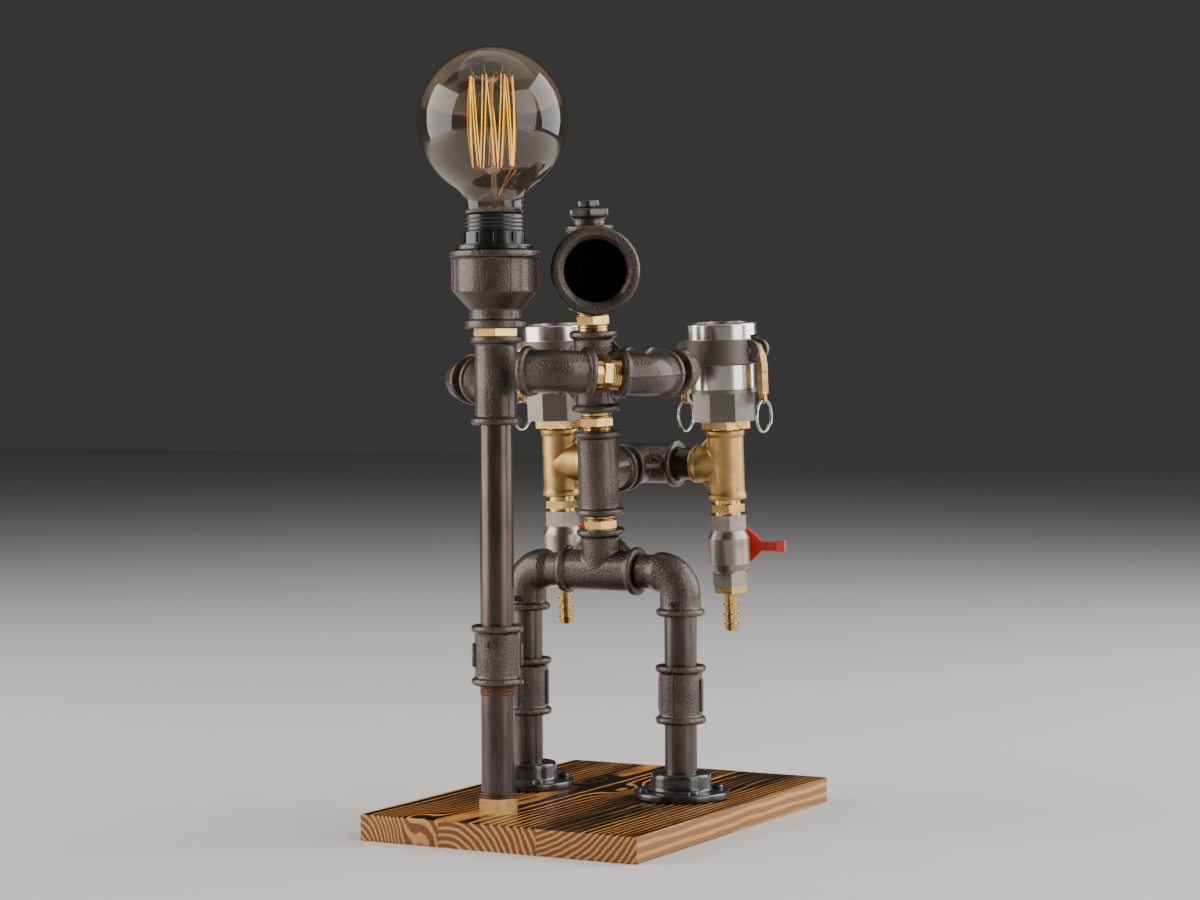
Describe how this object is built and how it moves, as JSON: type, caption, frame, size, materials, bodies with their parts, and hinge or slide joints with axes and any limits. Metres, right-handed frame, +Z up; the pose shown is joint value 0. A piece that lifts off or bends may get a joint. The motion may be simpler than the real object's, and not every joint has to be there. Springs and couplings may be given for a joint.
{
  "type": "table lamp",
  "caption": "Table lamp built as a pipe-fitting figure on a wooden board, holding a tall lamp pole with a globe bulb and carrying two bottle dispensers with cam levers and taps behind.",
  "frame": {"origin": "middle of the board's underside", "axes": "+X along the board's short edge towards the figure's left hand, +Y from the figure's front to its back, +Z up"},
  "size_m": [0.1994, 0.283, 0.5014],
  "materials": {
    "iron": "as-cast skin under clear lacquer, dark gunmetal brown",
    "pipe": "smooth dark mill-scaled pipe, lightly lacquered",
    "flange_black": "glossy black",
    "polished_brass": "turned and polished",
    "cast_brass": "satin cast",
    "aluminium": "machined bands, as-cast cup",
    "nickel": "satin nickel plate",
    "steel": "bright zinc plate",
    "red_paint": "gloss red paint",
    "bakelite": "moulded, glossy",
    "ceramic": "white glazed",
    "gasket_rubber": "matt",
    "clear_glass": "clear",
    "cap_metal": "bright rolled",
    "filament_wire": "glowing orange when lit",
    "pine": "burnt pine under gloss lacquer"
  },
  "bodies": {
    "frame": {"arm_nipples": "pipe", "back_nipples": "pipe", "back_tee": "iron", "base_stave_left": "pine", "base_stave_middle": "pine", "base_stave_right": "pine", "bulb_cap": "cap_metal", "bulb_filament": "filament_wire", "bulb_glass": "clear_glass", "bulb_stem": "clear_glass", "column_nipples": "polished_brass", "coupler_bodies": "aluminium", "coupler_bushings": "polished_brass", "coupler_gaskets": "gasket_rubber", "crown_bushing": "iron", "crown_plug": "iron", "dispenser_tees": "cast_brass", "face_socket": "iron", "flange_screws": "steel", "floor_flanges": "flange_black", "foot_bolt": "steel", "forearm_elbows": "iron", "head_tee": "iron", "hip_elbows": "iron", "hip_tee": "iron", "hose_tails": "polished_brass", "knee_sockets": "iron", "lamp_reducer": "iron", "lampholder_core": "ceramic", "lampholder_ring": "bakelite", "lampholder_shell": "bakelite", "left_hand_elbow": "iron", "leg_pipes": "pipe", "lever_pins": "steel", "pole_foot": "polished_brass", "pole_lower_pipe": "pipe", "pole_socket": "iron", "pole_tee": "iron", "pole_top_nipple": "polished_brass", "pole_upper_pipe": "pipe", "shoulder_cross": "iron", "shoulder_elbows": "iron", "torso_tee": "iron", "valve_bodies": "nickel", "valve_nipples": "polished_brass", "wrist_nipples": "polished_brass"},
    "left_outer_lever": {"left_outer_lever": "cast_brass"},
    "left_outer_ring": {"left_outer_ring": "steel"},
    "left_inner_lever": {"left_inner_lever": "cast_brass"},
    "left_inner_ring": {"left_inner_ring": "steel"},
    "right_inner_lever": {"right_inner_lever": "cast_brass"},
    "right_inner_ring": {"right_inner_ring": "steel"},
    "right_outer_lever": {"right_outer_lever": "cast_brass"},
    "right_outer_ring": {"right_outer_ring": "steel"},
    "left_valve": {"left_valve_handle": "red_paint", "left_valve_ball": "nickel", "left_stem_nut": "steel"},
    "right_valve": {"right_valve_handle": "red_paint", "right_valve_ball": "nickel", "right_stem_nut": "steel"}
  },
  "joints": [
    {"name": "left_outer_lever_hinge", "type": "hinge", "parent": "frame", "child": "left_outer_lever", "pos_m": [0.081, 0.06424, 0.30949], "axis": [0, -0.9977, -0.068], "range_deg": [0, 105]},
    {"name": "left_outer_ring_hinge", "type": "hinge", "parent": "left_outer_lever", "child": "left_outer_ring", "pos_m": [0.0863, 0.06648, 0.27657], "axis": [0, -0.9977, -0.068], "range_deg": [-20, 120]},
    {"name": "left_inner_lever_hinge", "type": "hinge", "parent": "frame", "child": "left_inner_lever", "pos_m": [0.034, 0.06424, 0.30949], "axis": [0, 0.9977, 0.068], "range_deg": [0, 105]},
    {"name": "left_inner_ring_hinge", "type": "hinge", "parent": "left_inner_lever", "child": "left_inner_ring", "pos_m": [0.0287, 0.06648, 0.27657], "axis": [0, 0.9977, 0.068], "range_deg": [-20, 120]},
    {"name": "right_inner_lever_hinge", "type": "hinge", "parent": "frame", "child": "right_inner_lever", "pos_m": [-0.046, 0.06424, 0.30949], "axis": [0, -0.9977, -0.068], "range_deg": [0, 105]},
    {"name": "right_inner_ring_hinge", "type": "hinge", "parent": "right_inner_lever", "child": "right_inner_ring", "pos_m": [-0.0407, 0.06648, 0.27657], "axis": [0, -0.9977, -0.068], "range_deg": [-20, 120]},
    {"name": "right_outer_lever_hinge", "type": "hinge", "parent": "frame", "child": "right_outer_lever", "pos_m": [-0.093, 0.06424, 0.30949], "axis": [0, 0.9977, 0.068], "range_deg": [0, 105]},
    {"name": "right_outer_ring_hinge", "type": "hinge", "parent": "right_outer_lever", "child": "right_outer_ring", "pos_m": [-0.0983, 0.06648, 0.27657], "axis": [0, 0.9977, 0.068], "range_deg": [-20, 120]},
    {"name": "left_valve_turn", "type": "hinge", "parent": "frame", "child": "left_valve", "pos_m": [0.0575, 0.07337, 0.1755], "axis": [0, 0.9977, 0.068], "range_deg": [0, 90]},
    {"name": "right_valve_turn", "type": "hinge", "parent": "frame", "child": "right_valve", "pos_m": [-0.0695, 0.07337, 0.1755], "axis": [0, 0.9977, 0.068], "range_deg": [0, 90]}
  ]
}
